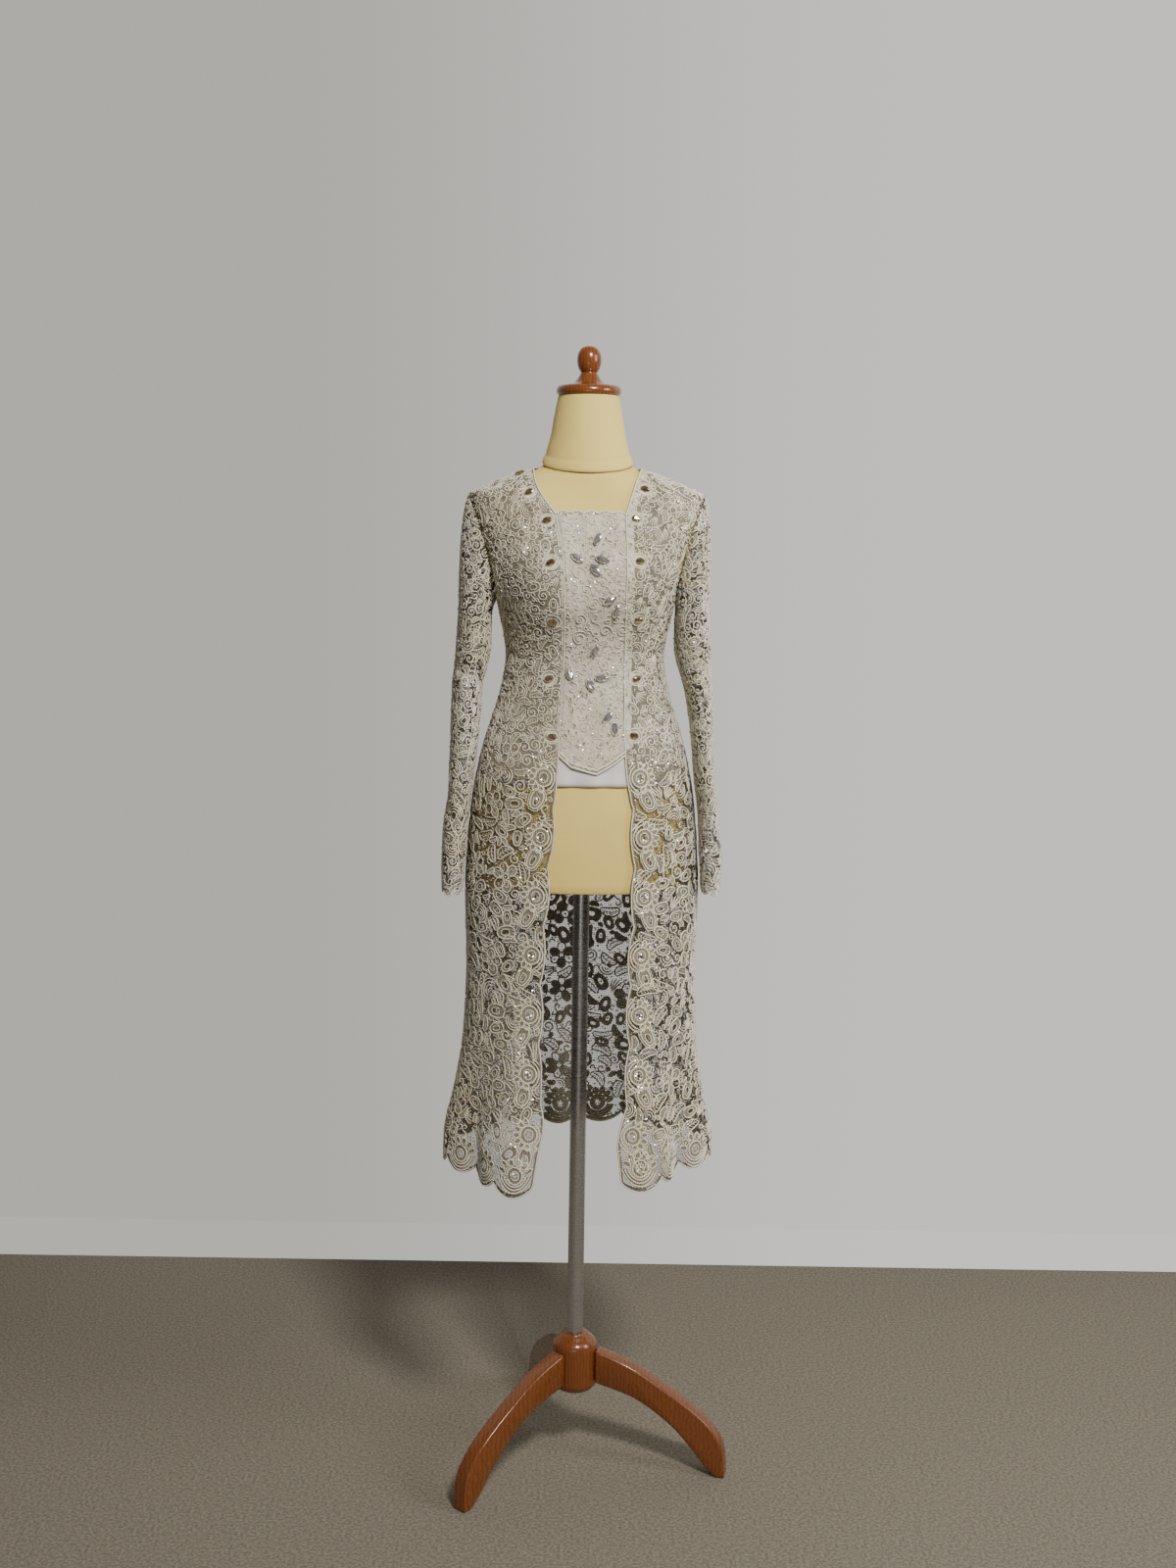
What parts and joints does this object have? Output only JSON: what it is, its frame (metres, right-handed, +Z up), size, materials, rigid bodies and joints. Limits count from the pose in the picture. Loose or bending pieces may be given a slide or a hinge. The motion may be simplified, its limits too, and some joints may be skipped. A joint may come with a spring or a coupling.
{
  "type": "kebaya blouse on a dress form",
  "caption": "Long corded-lace kebaya with a centre panel, open scalloped fronts and long sleeves, worn by a limbless dress form on a wooden tripod.",
  "frame": {"origin": "middle of the part's box at floor level, between the tripod's feet", "axes": "+Z up; the blouse faces -Y, and +X is the wearer's left"},
  "size_m": [0.4491, 0.4216, 1.7218],
  "materials": {
    "lace": "ivory corded lace on fine net with sequins and beads",
    "satin": "smooth pale satin",
    "jersey": "matt cream jersey, stretched",
    "wood": "glossy red-brown varnish",
    "crystal": "foil-backed cut stones",
    "steel": "plain satin tube"
  },
  "bodies": {
    "root": {"front_right": "lace", "front_left": "lace", "centre_panel": "lace", "back": "lace", "sleeve_right": "lace", "sleeve_left": "lace", "lining": "satin", "form_torso": "jersey", "form_neck": "jersey", "neck_cap": "wood", "pole": "steel", "hub": "wood", "leg_1": "wood", "leg_2": "wood", "leg_3": "wood"}
  },
  "joints": []
}
